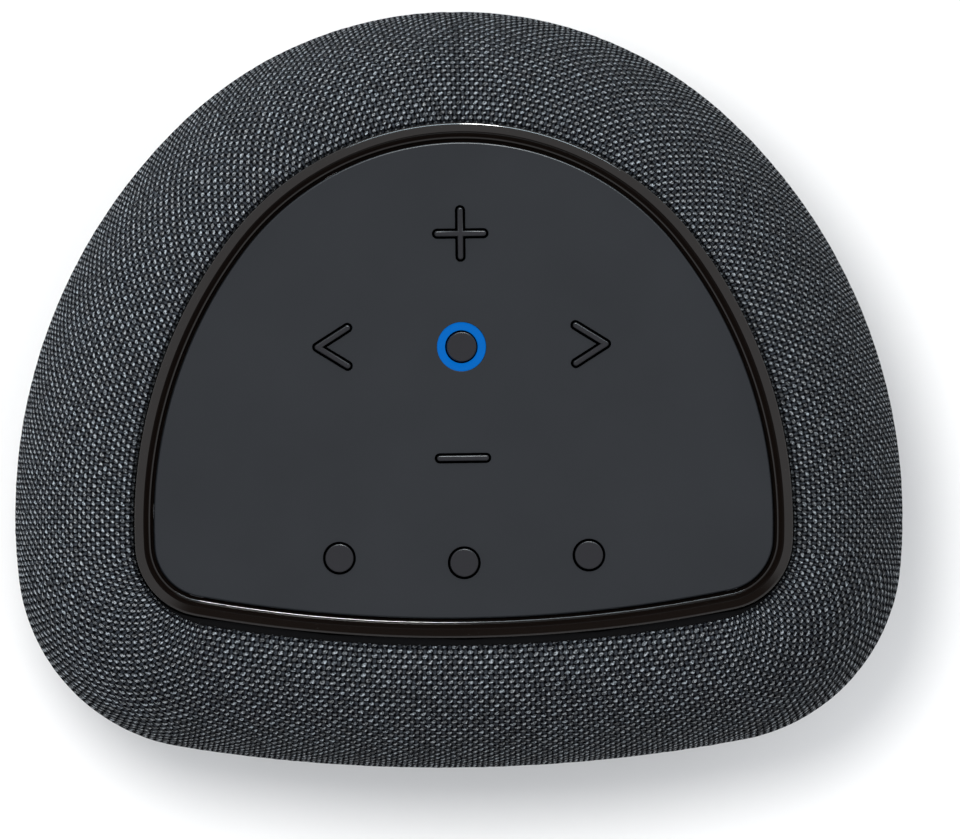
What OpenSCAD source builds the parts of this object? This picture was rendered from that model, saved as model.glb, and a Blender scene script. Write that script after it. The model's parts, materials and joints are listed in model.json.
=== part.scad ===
// Smart home hub: a low, fabric-wrapped body with a keyed panel on top and one speaker behind its front.
// Millimetres. Origin at the middle of the footprint on the table, +Z up, +Y towards the rounded back,
// -Y towards the nearly flat front.
//
// Every outline is the same kind of rounded D: six arcs that meet tangentially, symmetric about X = 0.
// An outline is [top_y, [r_back, r_side, r_corner], [end_back, end_side, end_corner]], where each end is
// the direction of the outward normal there, in degrees clockwise from +Y. The front arc closes it.

/* [Body] */
// Height over everything, from the table to the crown of the ring
height = 66; // [64:0.5:72]
// Distance from the origin to the back of the body
body_back = 61.94; // [61.5:0.01:62.5]
// Radius of the body's outline at the back
body_r_back = 65.2; // [64.5:0.1:66]
// Radius of the body's outline along each side
body_r_side = 89.5; // [88:0.5:91]
// Radius of the body's outline at each front corner
body_r_corner = 31.5; // [30.5:0.1:32.5]
// How far the rounded shoulder between the side and the top runs inwards
shoulder_in = 20; // [19:0.5:21]
// How tall that shoulder is
shoulder_h = 24; // [20:0.5:26]
// How far the side draws in below the widest height, at the shoulder's level downwards
belly_in = 12; // [10:0.5:13]
// Thickness of the fabric sleeve
fabric_t = 0.8; // [0.6:0.1:1]
// Thickness of the slotted shell under the fabric
shell_t = 2; // [1.6:0.1:2.2]

/* [Panel and ring] */
// Distance from the origin to the back edge of the panel
panel_back = 40.35; // [40:0.05:40.6]
// Radius of the panel's outline at the back
panel_r_back = 44.6; // [44:0.1:45]
// Radius of the panel's outline along each side
panel_r_side = 73.4; // [73:0.1:74]
// Radius of the panel's outline at each front corner
panel_r_corner = 8.7; // [8.4:0.1:9]
// Thickness of the panel
panel_t = 2.2; // [2:0.1:2.4]
// How far the panel's top lies below the ring's crown
panel_drop = 1; // [0.8:0.1:1.2]
// Dark gap between the panel and the ring
panel_gap = 0.55; // [0.4:0.05:0.6]
// Width of the ring
ring_w = 2.65; // [2.5:0.05:2.8]

/* [Keys] */
// Height of a key over the panel
key_proud = 0.6; // [0.4:0.1:0.8]
// How far a key travels
key_travel = 0.5; // [0.3:0.1:0.5]
// Gap round each key
key_gap = 0.37; // [0.3:0.01:0.4]
// Width of the strokes of the plus, minus and chevron keys
stroke_w = 0.9; // [0.8:0.1:1]
// Length of the strokes of the plus and minus keys
stroke_l = 8.5; // [8:0.1:9]
// Depth of a chevron, from its point to its tips
chevron_in = 4.95; // [4.6:0.05:5.2]
// Half the height of a chevron
chevron_half = 3.1; // [2.9:0.1:3.3]
// Diameter of the three round keys at the front
preset_d = 4.6; // [4.4:0.1:4.8]
// Diameter of the centre key
action_d = 4.85; // [4.7:0.05:4.95]
// Outer diameter of the lit ring
light_d = 7.95; // [7.8:0.05:8.1]

/* [Speaker] */
// Diameter of the driver's flange
driver_d = 40; // [39:0.5:40.5]
// Height of the driver's axis
driver_z = 34.8; // [34.6:0.1:35]
// Furthest that the cone moves each way
cone_travel = 1.2; // [0.8:0.1:1.4]

/* [Hidden] */

// Outlines
body = [body_back, [body_r_back, body_r_side, body_r_corner], [43.3, 96, 170]];
panel = [panel_back, [panel_r_back, panel_r_side, panel_r_corner], [52.2, 92.6, 169.2]];
arc_step = 6;
small_fn = 48;
eps = 0.01;
touch = 0.05;

// Heights, from the table up
foot_h = 1.9;
base_z = 1.2;
base_t = 2.2;
base_rim_z = 4.9;
base_wall_z = 12;
fabric_low_z = 5;
shoulder_z = height - 1.6;
waist_z = shoulder_z - shoulder_h;
board_z = 9.4;
board_t = 1.6;
lid_z = 13.8;
lid_t = 2.2;
box_top_z = 55.5;
panel_z = height - panel_drop - panel_t;
panel_top_z = height - panel_drop;
ledge_z = panel_z - touch;
key_board_z = panel_z - 5.8;
key_board_top = key_board_z + board_t;
frame_z = panel_z - 3.9;
membrane_z = panel_z - 2.25;
membrane_t = 0.5;
flange_top = panel_z - 0.15;
flange_t = 0.9;
switch_h = 1.1;
plunger_h = 0.45;
stem_z = key_board_top + switch_h + plunger_h + key_travel + 0.1;
key_top = panel_top_z + key_proud;

// Insets from the body's outline
shell_gap = 0.1;
shell_in = fabric_t + shell_gap;
top_flat = 21.6;
base_in = 6.9;
base_wall_in = 9;
base_wall_t = 2;
box_in = 12;
box_t = 2.2;
foot_out = 13;
foot_w = 7;

// Key places
plus_at = [0, 25.4];
minus_at = [0, -11.3];
action_at = [0, 6.9];
chevron_x = 23.6;
chevron_y = 7.1;
preset_x = 20.4;
preset_y = -27.4;
middle_y = -28.4;
chevron_stem = 1.8;
stem_d = 2.4;
flange_extra = 1.2;

// Driver
baffle_y = -52;
gasket_t = 0.6;
driver_y = baffle_y - gasket_t - 1.2;
driver_hole = 33.6;
driver_screw_r = 18.3;
driver_screw_d = 1.5;

// Screws: [thread diameter, head diameter, head height]
m3 = [3, 5.6, 1.8];
m25 = [2.5, 4.4, 1.5];
m2 = [2, 3.6, 1.3];

// Directions, as outward normals of an outline
frame_screw_at = [28, 88, -88, -28, 168, -168];
board_tab_at = [0, 55, 95, -95, -55, 177.2, -177.2];
frame_screw_in = 1.9;
board_tab_in = 7;
base_screw_at = [48, 128, -128, -48];
base_screw_in = 26;
main_screw_at = [[-44, -12], [44, -12], [-26, 34], [26, 34]];

port_y = 57.2;
port_z = 12.6;
port_w = 21;
port_h = 9;
usb_w = 8.9;
usb_h = 3.2;
ribbon_w = 10;
ribbon_x = 11;
lead_at = [16, -18];

// ---------- outline geometry ----------

function dir(a) = [sin(a), cos(a)];
function flip(p) = [-p[0], p[1]];

// The four different arcs of the right half, back to front: [centre, radius, start, end]
function half_arcs(o) =
    let (
        r = o[1],
        e = o[2],
        back = [0, o[0] - r[0]],
        side = back + (r[0] - r[1]) * dir(e[0]),
        corner = side + (r[1] - r[2]) * dir(e[1]),
        r_front = r[2] + corner[0] / sin(e[2]),
        front = corner + (r[2] - r_front) * dir(e[2])
    )
    [[back, r[0], -e[0], e[0]], [side, r[1], e[0], e[1]], [corner, r[2], e[1], e[2]],
     [front, r_front, e[2], 360 - e[2]]];

// All six arcs in order, clockwise from the back arc's left end
function arcs(o) =
    let (h = half_arcs(o))
    [h[0], h[1], h[2], h[3],
     [flip(h[2][0]), h[2][1], 360 - h[2][3], 360 - h[2][2]],
     [flip(h[1][0]), h[1][1], 360 - h[1][3], 360 - h[1][2]]];

// Points of the outline grown outwards by grow
function points(o, grow = 0) = [
    for (a = arcs(o))
        let (n = ceil((a[3] - a[2]) / arc_step))
        for (i = [0:n - 1])
            a[0] + (a[1] + grow) * dir(a[2] + (a[3] - a[2]) * i / n)
];

// The point of the grown outline whose outward normal is at angle t
function spot(o, t, grow = 0) =
    let (
        s = abs(t),
        hit = [for (a = half_arcs(o)) if (s <= a[3] + eps && s >= a[2] - eps) a][0],
        p = hit[0] + (hit[1] + grow) * dir(s)
    )
    t < 0 ? flip(p) : p;

module plate(o, grow, z, t) {
    translate([0, 0, z])
        linear_extrude(height = t)
            polygon(points(o, grow));
}

// Sweeps a closed profile round the outline: each of its points is [distance outwards, height], and they
// run clockwise
module sweep(o, profile) {
    n = len(profile);
    stations = [
        for (a = arcs(o))
            let (m = ceil((a[3] - a[2]) / arc_step))
            for (i = [0:m - 1]) [a[0], a[1], a[2] + (a[3] - a[2]) * i / m]
    ];
    m = len(stations);
    corners = [
        for (s = stations, p = profile)
            let (q = s[0] + (s[1] + p[0]) * dir(s[2]))
            [q[0], q[1], p[1]]
    ];
    quads = [
        for (i = [0:m - 1], j = [0:n - 1])
            let (k = (i + 1) % m, l = (j + 1) % n)
            [i * n + j, i * n + l, k * n + l, k * n + j]
    ];
    polyhedron(corners, quads);
}

// The body's side and shoulder as profile points, drawn inwards by d, from the foot of the sleeve up
belly_steps = 6;
shoulder_steps = 8;
function belly(d, z0) = [
    for (i = [0:belly_steps - 1])
        let (a = asin((z0 - waist_z) / (waist_z - d)) * (1 - i / belly_steps))
            [-belly_in + (belly_in - d) * cos(a), waist_z + (waist_z - d) * sin(a)]
];
function shoulder(d) = [
    for (i = [0:shoulder_steps])
        let (a = 90 * i / shoulder_steps)
            [-shoulder_in + (shoulder_in - d) * cos(a), waist_z + (shoulder_h - d) * sin(a)]
];
function reversed(v) = [for (i = [len(v) - 1:-1:0]) v[i]];
function skin(d, t, z0) =
    let (
        outside = concat(belly(d, z0), shoulder(d), [[-top_flat, shoulder_z - d]]),
        inside = concat(belly(d + t, z0), shoulder(d + t), [[-top_flat, shoulder_z - d - t]])
    )
    concat(reversed(outside), inside);

// ---------- shared shapes ----------

module rod(d, z, h, fn = small_fn) {
    translate([0, 0, z])
        cylinder(d = d, h = h, $fn = fn);
}

module block(size, z) {
    translate([-size[0] / 2, -size[1] / 2, z])
        cube(size);
}

// A stroke with round ends, along x
module bar(l, w) {
    square([l - w, w], center = true);
    for (s = [-1, 1])
        translate([s * (l - w) / 2, 0])
            circle(d = w, $fn = 32);
}

// Key outlines, grown by g all round
module plus_2d(g) {
    bar(stroke_l + 2 * g, stroke_w + 2 * g);
    rotate(90)
        bar(stroke_l + 2 * g, stroke_w + 2 * g);
}
module minus_2d(g) {
    bar(stroke_l + 2 * g, stroke_w + 2 * g);
}
module chevron_2d(g) {
    leg = norm([chevron_in, chevron_half]);
    for (s = [-1, 1])
        rotate(s * atan2(chevron_half, chevron_in))
            translate([leg / 2, 0])
                bar(leg + stroke_w + 2 * g, stroke_w + 2 * g);
}
module preset_2d(g) {
    circle(d = preset_d + 2 * g, $fn = 64);
}

// Puts a 2D shape at each key's place
module at_plus() { translate(plus_at) children(); }
module at_minus() { translate(minus_at) children(); }
module at_previous() { translate([-chevron_x, chevron_y]) children(); }
module at_next() { translate([chevron_x, chevron_y]) mirror([1, 0]) children(); }
module at_left() { translate([-preset_x, preset_y]) children(); }
module at_middle() { translate([0, middle_y]) children(); }
module at_right() { translate([preset_x, preset_y]) children(); }

stems = [
    plus_at, minus_at, [-chevron_x + chevron_stem, chevron_y],
    [chevron_x - chevron_stem, chevron_y], action_at, [-preset_x, preset_y], [0, middle_y],
    [preset_x, preset_y]
];

module cap() {
    translate([0, 0, flange_top - eps])
        linear_extrude(height = key_top - flange_top + eps)
            children();
}
module flange() {
    translate([0, 0, flange_top - flange_t])
        linear_extrude(height = flange_t)
            children();
}
module stem(p) {
    translate([p[0], p[1], 0])
        rod(stem_d, stem_z, flange_top - flange_t - stem_z + eps);
}

// A screw that points up from z, with its head below
module screw_up(size, z, l) {
    rod(size[1], z, size[2], 32);
    rod(size[0], z + size[2] - eps, l + eps, 32);
}
// A screw that points down from the underside of its head at z
module screw_down(size, z, l) {
    rod(size[1], z, size[2], 32);
    rod(size[0], z - l, l + eps, 32);
}

// Turns a shape round +Z into one round the driver's axis, with z running backwards from its front
module on_driver() {
    translate([0, driver_y, driver_z])
        rotate([-90, 0, 0])
            children();
}
module ring(r_in, r_out, h0, h1) {
    rotate_extrude($fn = 96)
        translate([r_in, h0])
            square([r_out - r_in, h1 - h0]);
}

// ---------- outside ----------

// Where the fabric and the shell open for the ring
module top_opening(grow) {
    plate(panel, panel_gap + ring_w + grow, box_top_z, height);
}
module port_opening(grow) {
    translate([0, body_back, port_z])
        rotate([90, 0, 0])
            linear_extrude(height = 24, center = true)
                bar(port_w + 2 * grow, port_h + 2 * grow);
}

module fabric_cover() {
    color([0.16, 0.17, 0.19])
        difference() {
            sweep(body, skin(0, fabric_t, fabric_low_z));
            top_opening(0.3);
            port_opening(0.1);
        }
}

module grille_shell() {
    slot_w = 2.4;
    color([0.07, 0.07, 0.07])
        difference() {
            sweep(body, skin(shell_in, shell_t, fabric_low_z + 1.5));
            top_opening(0.3);
            port_opening(0.1);
            for (i = [-7:7])
                translate([i * 5 - slot_w / 2, -body_back - 5, 20])
                    cube([slot_w, 20, 28]);
        }
}

module top_bezel() {
    x0 = panel_gap;
    x1 = panel_gap + ring_w;
    profile = [
        [x0, ledge_z - 1.7], [x0, panel_top_z - 0.1], [x0 + 0.3, panel_top_z + 0.2],
        [x0 + 1.1, height - 0.2], [x0 + 1.7, height], [x1 - 0.4, height - 0.05],
        [x1 - 0.1, height - 0.3], [x1, height - 0.7], [x1, ledge_z - 1.7]
    ];
    color([0.03, 0.03, 0.03])
        sweep(panel, profile);
}

module control_panel() {
    color([0.2, 0.21, 0.23])
        difference() {
            plate(panel, 0, panel_z, panel_t);
            translate([0, 0, panel_z - 1])
                linear_extrude(height = panel_t + 2) {
                    at_plus() plus_2d(key_gap);
                    at_minus() minus_2d(key_gap);
                    at_previous() chevron_2d(key_gap);
                    at_next() chevron_2d(key_gap);
                    at_left() preset_2d(key_gap);
                    at_middle() preset_2d(key_gap);
                    at_right() preset_2d(key_gap);
                }
            translate(action_at)
                rod(light_d + 0.1, panel_z - 1, panel_t + 2, 96);
        }
}

module light_ring() {
    color([0, 0.4, 0.8])
        translate(action_at) {
            ring(action_d / 2 + 0.28, light_d / 2, panel_z - 0.8, panel_top_z - 0.2);
            ring(light_d / 2 - eps, light_d / 2 + 1.2, panel_z - 0.8, panel_z - 0.1);
        }
}

// ---------- keys ----------

module volume_up_button() {
    color([0.13, 0.13, 0.14]) {
        cap() at_plus() plus_2d(0);
        flange() at_plus() plus_2d(flange_extra);
        stem(stems[0]);
    }
}
module volume_down_button() {
    color([0.13, 0.13, 0.14]) {
        cap() at_minus() minus_2d(0);
        flange() at_minus() minus_2d(flange_extra);
        stem(stems[1]);
    }
}
module previous_button() {
    color([0.13, 0.13, 0.14]) {
        cap() at_previous() chevron_2d(0);
        flange() at_previous() chevron_2d(flange_extra);
        stem(stems[2]);
    }
}
module next_button() {
    color([0.13, 0.13, 0.14]) {
        cap() at_next() chevron_2d(0);
        flange() at_next() chevron_2d(flange_extra);
        stem(stems[3]);
    }
}
module action_button() {
    low = panel_z - 1.8;
    color([0.13, 0.13, 0.14]) {
        translate(action_at) {
            rod(action_d, low, key_top - low, 64);
            rod(action_d + 2.8, low, 0.85, 64);
        }
        translate(action_at)
            rod(stem_d, stem_z, low - stem_z + eps);
    }
}
module left_preset_button() {
    color([0.13, 0.13, 0.14]) {
        cap() at_left() preset_2d(0);
        flange() at_left() preset_2d(flange_extra);
        stem(stems[5]);
    }
}
module middle_preset_button() {
    color([0.13, 0.13, 0.14]) {
        cap() at_middle() preset_2d(0);
        flange() at_middle() preset_2d(flange_extra);
        stem(stems[6]);
    }
}
module right_preset_button() {
    color([0.13, 0.13, 0.14]) {
        cap() at_right() preset_2d(0);
        flange() at_right() preset_2d(flange_extra);
        stem(stems[7]);
    }
}

// ---------- top carrier and key electronics ----------

module top_frame() {
    shelf = frame_z + 1.6;
    under_ring = ledge_z - 1.75;
    flange_z = shelf - 0.2;
    boss_d = 5.2;
    tab_d = 5;
    profile = [
        [-6, frame_z], [-6, shelf], [-3.4, shelf], [-3.4, ledge_z], [0.45, ledge_z],
        [0.45, under_ring], [3.2, under_ring], [3.2, flange_z], [4.8, flange_z], [4.8, frame_z]
    ];
    color([0.1, 0.1, 0.1])
        difference() {
            union() {
                sweep(panel, profile);
                for (a = frame_screw_at)
                    translate(spot(panel, a, -frame_screw_in))
                        rod(boss_d, box_top_z + touch, shelf - box_top_z - touch);
                for (a = board_tab_at)
                    translate(spot(panel, a, -board_tab_in))
                        rod(tab_d, frame_z, shelf - frame_z);
            }
            for (a = frame_screw_at)
                translate(spot(panel, a, -frame_screw_in)) {
                    rod(m25[0] + 0.3, box_top_z - 1, height);
                    rod(m25[1] + 0.4, ledge_z - 2, height);
                }
            for (a = board_tab_at)
                translate(spot(panel, a, -board_tab_in))
                    rod(m2[0], frame_z - 1, 3);
        }
}

module frame_screws() {
    color([0.6, 0.6, 0.62])
        for (a = frame_screw_at)
            translate(spot(panel, a, -frame_screw_in))
                screw_down([m25[0] - 0.1, m25[1], m25[2]], ledge_z - 2 + eps, 9);
}

module keypad_membrane() {
    color([0.16, 0.16, 0.17])
        difference() {
            plate(panel, -4.5, membrane_z, membrane_t);
            for (p = stems)
                translate(p)
                    rod(p == action_at ? 11.6 : 4, membrane_z - 1, membrane_t + 2);
        }
}

module key_board() {
    color([0.05, 0.25, 0.14])
        difference() {
            plate(panel, -4.6, key_board_z, board_t);
            for (a = board_tab_at)
                translate(spot(panel, a, -board_tab_in))
                    rod(m2[0] + 0.4, key_board_z - 1, 4);
        }
}

module key_board_screws() {
    color([0.6, 0.6, 0.62])
        for (a = board_tab_at)
            translate(spot(panel, a, -board_tab_in))
                screw_up([m2[0] - 0.1, m2[1], m2[2]], key_board_z - m2[2], 3.2);
}

module tact_switches() {
    color([0.75, 0.76, 0.78])
        for (p = stems)
            translate(p) {
                block([4, 4, switch_h], key_board_top);
                rod(2, key_board_top + switch_h - eps, plunger_h + eps);
            }
}

module ring_leds() {
    color([0.9, 0.92, 0.9])
        for (i = [0:5])
            translate(action_at)
                rotate(i * 60 + 30)
                    translate([5, 0])
                        block([0.8, 1.6, 0.7], key_board_top);
}

// ---------- speaker box ----------

module lead_hole(d, z, h) {
    translate(lead_at)
        rod(d, z, h);
}

module enclosure_body() {
    post_z = lid_z + lid_t;
    color([0.09, 0.09, 0.1])
        difference() {
            union() {
                difference() {
                    plate(body, -box_in, post_z, box_top_z - post_z);
                    plate(body, -box_in - box_t, post_z - 1, box_top_z - post_z - box_t + 1);
                }
                intersection() {
                    translate([0, baffle_y, driver_z])
                        rotate([-90, 0, 0])
                            cylinder(d = driver_d + 1, h = 5, $fn = 96);
                    plate(body, 0, post_z, box_top_z - post_z);
                }
                for (a = base_screw_at)
                    translate(spot(body, a, -base_screw_in))
                        rod(8, post_z, box_top_z - post_z - 1);
                for (a = frame_screw_at)
                    translate(spot(panel, a, -frame_screw_in))
                        rod(6, box_top_z - 9, 9);
            }
            translate([0, baffle_y - 1, driver_z])
                rotate([-90, 0, 0])
                    cylinder(d = driver_hole, h = 12, $fn = 96);
            for (a = [45:90:315])
                translate([0, baffle_y - 1, driver_z])
                    rotate([-90, 0, 0])
                        translate([driver_screw_r * cos(a), driver_screw_r * sin(a), 0])
                            cylinder(d = driver_screw_d + 0.1, h = 5.5, $fn = 32);
            for (a = base_screw_at)
                translate(spot(body, a, -base_screw_in))
                    rod(m3[0], post_z - 1, 11);
            for (a = frame_screw_at)
                translate(spot(panel, a, -frame_screw_in))
                    rod(m25[0], box_top_z - 8, 9);
        }
}

module enclosure_lid() {
    color([0.09, 0.09, 0.1])
        difference() {
            plate(body, -box_in, lid_z, lid_t);
            for (a = base_screw_at)
                translate(spot(body, a, -base_screw_in))
                    rod(m3[0] + 0.4, lid_z - 1, 5);
            lead_hole(4, lid_z - 1, 5);
        }
}

module damping_foam() {
    color([0.3, 0.3, 0.32])
        intersection() {
            plate(body, -box_in - box_t - 0.4, 20, 22);
            translate([-24, 20, 0])
                cube([48, 60, 80]);
        }
}

module driver_gasket() {
    color([0.12, 0.12, 0.12])
        on_driver()
            difference() {
                ring(driver_hole / 2, driver_d / 2, 1.2, 1.2 + gasket_t);
                for (a = [45:90:315])
                    rotate(a)
                        translate([driver_screw_r, 0, 0])
                            rod(driver_screw_d + 0.5, 0, 4);
            }
}

module driver_basket() {
    bowl = [[15.9, 0], [20, 0], [20, 1.2], [16.5, 1.2], [13.3, 9.6], [13.3, 10.5], [8.4, 10.5],
            [8.4, 9.6], [12.3, 9.6], [12.3, 8.7], [15.4, 1.2]];
    color([0.25, 0.25, 0.27])
        on_driver()
            difference() {
                rotate_extrude($fn = 96)
                    polygon(bowl);
                for (a = [0:90:270])
                    rotate(a)
                        translate([10, -4.5, 2.6])
                            cube([12, 9, 5]);
                for (a = [45:90:315])
                    rotate(a)
                        translate([driver_screw_r, 0, -1])
                            rod(driver_screw_d + 0.5, 0, 4);
            }
}

module front_plate() {
    color([0.7, 0.7, 0.72])
        on_driver()
            ring(7.6, 13, 10.5, 12.5);
}
module driver_magnet() {
    color([0.12, 0.12, 0.13])
        on_driver()
            ring(8.8, 14.5, 12.5, 17.5);
}
module pole_plate() {
    color([0.7, 0.7, 0.72])
        on_driver() {
            ring(1.5, 13, 17.5, 19.5);
            ring(1.5, 6.2, 10.7, 17.5 + eps);
        }
}
module voice_coil() {
    color([0.72, 0.42, 0.2])
        on_driver() {
            ring(6.5, 6.75, 5.3, 13 + cone_travel);
            ring(6.75 - eps, 7.25, 9.8, 13.4);
        }
}
module speaker_cone() {
    color([0.1, 0.1, 0.1])
        on_driver()
            rotate_extrude($fn = 96)
                polygon([[6.8, 5.3], [6.8, 5.9], [13.6, 0.75], [14.4, 0.75], [14.4, 0.25], [13.4, 0.25]]);
}
module dust_cap() {
    color([0.08, 0.08, 0.08])
        on_driver()
            intersection() {
                difference() {
                    translate([0, 0, 11.2])
                        sphere(r = 9.2, $fn = 64);
                    translate([0, 0, 11.2])
                        sphere(r = 8.8, $fn = 64);
                }
                rod(13.4, 0, 5.2, 64);
            }
}
module cone_surround() {
    color([0.05, 0.05, 0.05])
        on_driver()
            rotate_extrude($fn = 96) {
                difference() {
                    translate([15.4, -0.1])
                        circle(r = 1.2, $fn = 32);
                    translate([15.4, -0.1])
                        circle(r = 0.85, $fn = 32);
                    translate([13, -0.1])
                        square([5, 3]);
                }
                translate([13.7, -0.1])
                    square([0.9, 0.34]);
                translate([16, -0.36])
                    square([0.7, 0.35]);
            }
}
module spider() {
    folds = [for (i = [0:5]) [6.8 + i, 8.3 + (i % 2) * 0.5]];
    color([0.75, 0.6, 0.3])
        on_driver()
            rotate_extrude($fn = 96)
                polygon(concat(folds, [for (i = [5:-1:0]) folds[i] + [0, 0.35]]));
}
module driver_terminals() {
    color([0.85, 0.7, 0.3])
        on_driver()
            for (s = [-1, 1])
                translate([s * 2, -14.6, 0])
                    block([1.2, 3, 0.8], 10.5);
}
module driver_screws() {
    color([0.6, 0.6, 0.62])
        on_driver()
            for (a = [45:90:315])
                rotate(a)
                    translate([driver_screw_r, 0, 0]) {
                        rod(3, -1.2, 1.2, 32);
                        rod(driver_screw_d, -eps, 6, 32);
                    }
}

// ---------- lead, boards and radio ----------

// A round tube along a path, as rings of points in planes square to X = 0
function ring_at(p, d, r, n) =
    let (u = [1, 0, 0], v = cross(d, u))
    [for (i = [0:n - 1]) p + r * (cos(i * 360 / n) * u + sin(i * 360 / n) * v)];
module tube(path, r, n = 8) {
    m = len(path);
    unit = [for (i = [0:m - 1])
        let (d = path[min(i + 1, m - 1)] - path[max(i - 1, 0)]) d / norm(d)];
    rings = [for (i = [0:m - 1]) each ring_at(path[i], unit[i], r, n)];
    walls = [for (i = [0:m - 2], j = [0:n - 1])
        [i * n + j, (i + 1) * n + j, (i + 1) * n + (j + 1) % n, i * n + (j + 1) % n]];
    polyhedron(rings, concat(
        [[for (j = [0:n - 1]) j]], walls, [[for (j = [n - 1:-1:0]) (m - 1) * n + j]]
    ));
}
module speaker_lead() {
    route = [
        [0, -18, 11.4], [0, -18, 17], [0, -18, 22], [0, -19, 30], [0, -23, 42], [0, -29, 48.5],
        [0, -35, 50.8], [0, -40, 50.6], [0, -42.4, 50.4]
    ];
    color([0.75, 0.1, 0.08])
        for (s = [-1, 1])
            tube([for (i = [0:len(route) - 1])
                route[i] + [i < 4 ? lead_at[0] + s * 0.8 : i < 6 ? 8 + s : 2 * s, 0, 0]], 0.6);
}
module lead_grommet() {
    color([0.1, 0.1, 0.1])
        translate(lead_at)
            difference() {
                rod(3.9, lid_z - 0.1, lid_t + 0.6);
                for (s = [-1, 1])
                    translate([s * 0.8, 0, 0])
                        rod(1.3, lid_z - 1, 5);
            }
}

module main_board() {
    color([0.05, 0.25, 0.14])
        difference() {
            union() {
                plate(body, -box_in - 1, board_z, board_t);
                translate([-8.5, 44, board_z])
                    cube([17, 8.2, board_t]);
            }
            for (a = base_screw_at)
                translate(spot(body, a, -base_screw_in))
                    rod(9, board_z - 1, 4);
            for (p = main_screw_at)
                translate(p)
                    rod(m25[0] + 0.3, board_z - 1, 4);
        }
}
module main_board_screws() {
    color([0.6, 0.6, 0.62])
        for (p = main_screw_at)
            translate(p)
                screw_down([m25[0] - 0.1, m25[1], m25[2]], board_z + board_t, 6);
}
module processor_shield() {
    color([0.75, 0.76, 0.78])
        translate([0, 6, 0])
            block([26, 24, 1.6], board_z + board_t);
}
module heat_spreader() {
    color([0.8, 0.81, 0.83])
        translate([0, 6, 0])
            block([40, 32, 0.9], board_z + board_t + 1.7);
}
module radio_module() {
    color([0.7, 0.72, 0.74])
        for (s = [-1, 1])
            translate([s * 34, 5, 0]) {
                block([13, 17, 0.8], board_z + board_t);
                block([11, 12, 1.5], board_z + board_t + 0.8 - eps);
            }
}
module board_components() {
    color([0.12, 0.12, 0.13])
        translate([0, 0, board_z + board_t]) {
            for (s = [-1, 1])
                for (i = [0:3])
                    translate([s * (26 + i * 4.5), -9, 0])
                        block([3, 2, 1.4], 0);
            for (i = [0:4])
                translate([-20 + i * 6, -28, 0])
                    block([4, 4, 2], 0);
            for (i = [0:2])
                translate([-34 + i * 7, -34, 0])
                    cylinder(d = 5, h = 2.4, $fn = 32);
            translate([16, -18, 0])
                difference() {
                    block([6, 5, 2.2], 0);
                    for (s = [-1, 1])
                        translate([s * 0.8, 0, 0])
                            rod(1.3, -1, 5);
                }
        }
}

// Flat cable from the key board, down behind the speaker box, to the main board
module ribbon_cable() {
    t = 0.2;
    top = key_board_z - 1;
    back = 50.4;
    low = board_z + board_t + 1.2;
    color([0.85, 0.85, 0.82])
        translate([ribbon_x - ribbon_w / 2, 0, 0]) {
            translate([0, 24, top])
                cube([ribbon_w, back - 24, t]);
            translate([0, back - t, low])
                cube([ribbon_w, t, top - low + t]);
            translate([0, 42, low])
                cube([ribbon_w, back - 42, t]);
        }
}
module ribbon_connectors() {
    color([0.9, 0.9, 0.86])
        translate([ribbon_x, 0, 0]) {
            translate([0, 22.5, 0])
                block([ribbon_w + 3, 5, 0.8], key_board_z - 0.8);
            translate([0, 40, 0])
                block([ribbon_w + 3, 5, 1.2], board_z + board_t);
        }
}
module antennas() {
    color([0.72, 0.5, 0.12])
        for (s = [-1, 1])
            translate([s * 62, -20, 42])
                cube([0.4, 32, 8], center = true);
}

module power_inlet() {
    inlet_l = 6.6;
    color([0.75, 0.76, 0.78])
        translate([0, port_y - 3.5, port_z])
            rotate([90, 0, 0])
                difference() {
                    linear_extrude(height = inlet_l, center = true)
                        bar(usb_w, usb_h);
                    translate([0, 0, -0.8])
                        linear_extrude(height = inlet_l, center = true)
                            bar(usb_w - 0.6, usb_h - 0.6);
                }
    color([0.1, 0.1, 0.1])
        translate([0, port_y - 3.8, port_z])
            cube([6.4, inlet_l - 0.8, 0.7], center = true);
}
module port_panel() {
    depth = 3.8;
    lip = 1;
    color([0.06, 0.06, 0.06])
        translate([0, port_y, port_z])
            rotate([90, 0, 0])
                difference() {
                    union() {
                        linear_extrude(height = depth + eps)
                            bar(port_w, port_h);
                        translate([0, 0, depth])
                            linear_extrude(height = lip)
                                bar(port_w + 3, port_h + 2);
                    }
                    translate([0, 0, -1])
                        linear_extrude(height = depth + lip + 2)
                            bar(usb_w + 2.4, usb_h + 2.4);
                }
}

// ---------- base ----------

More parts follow.
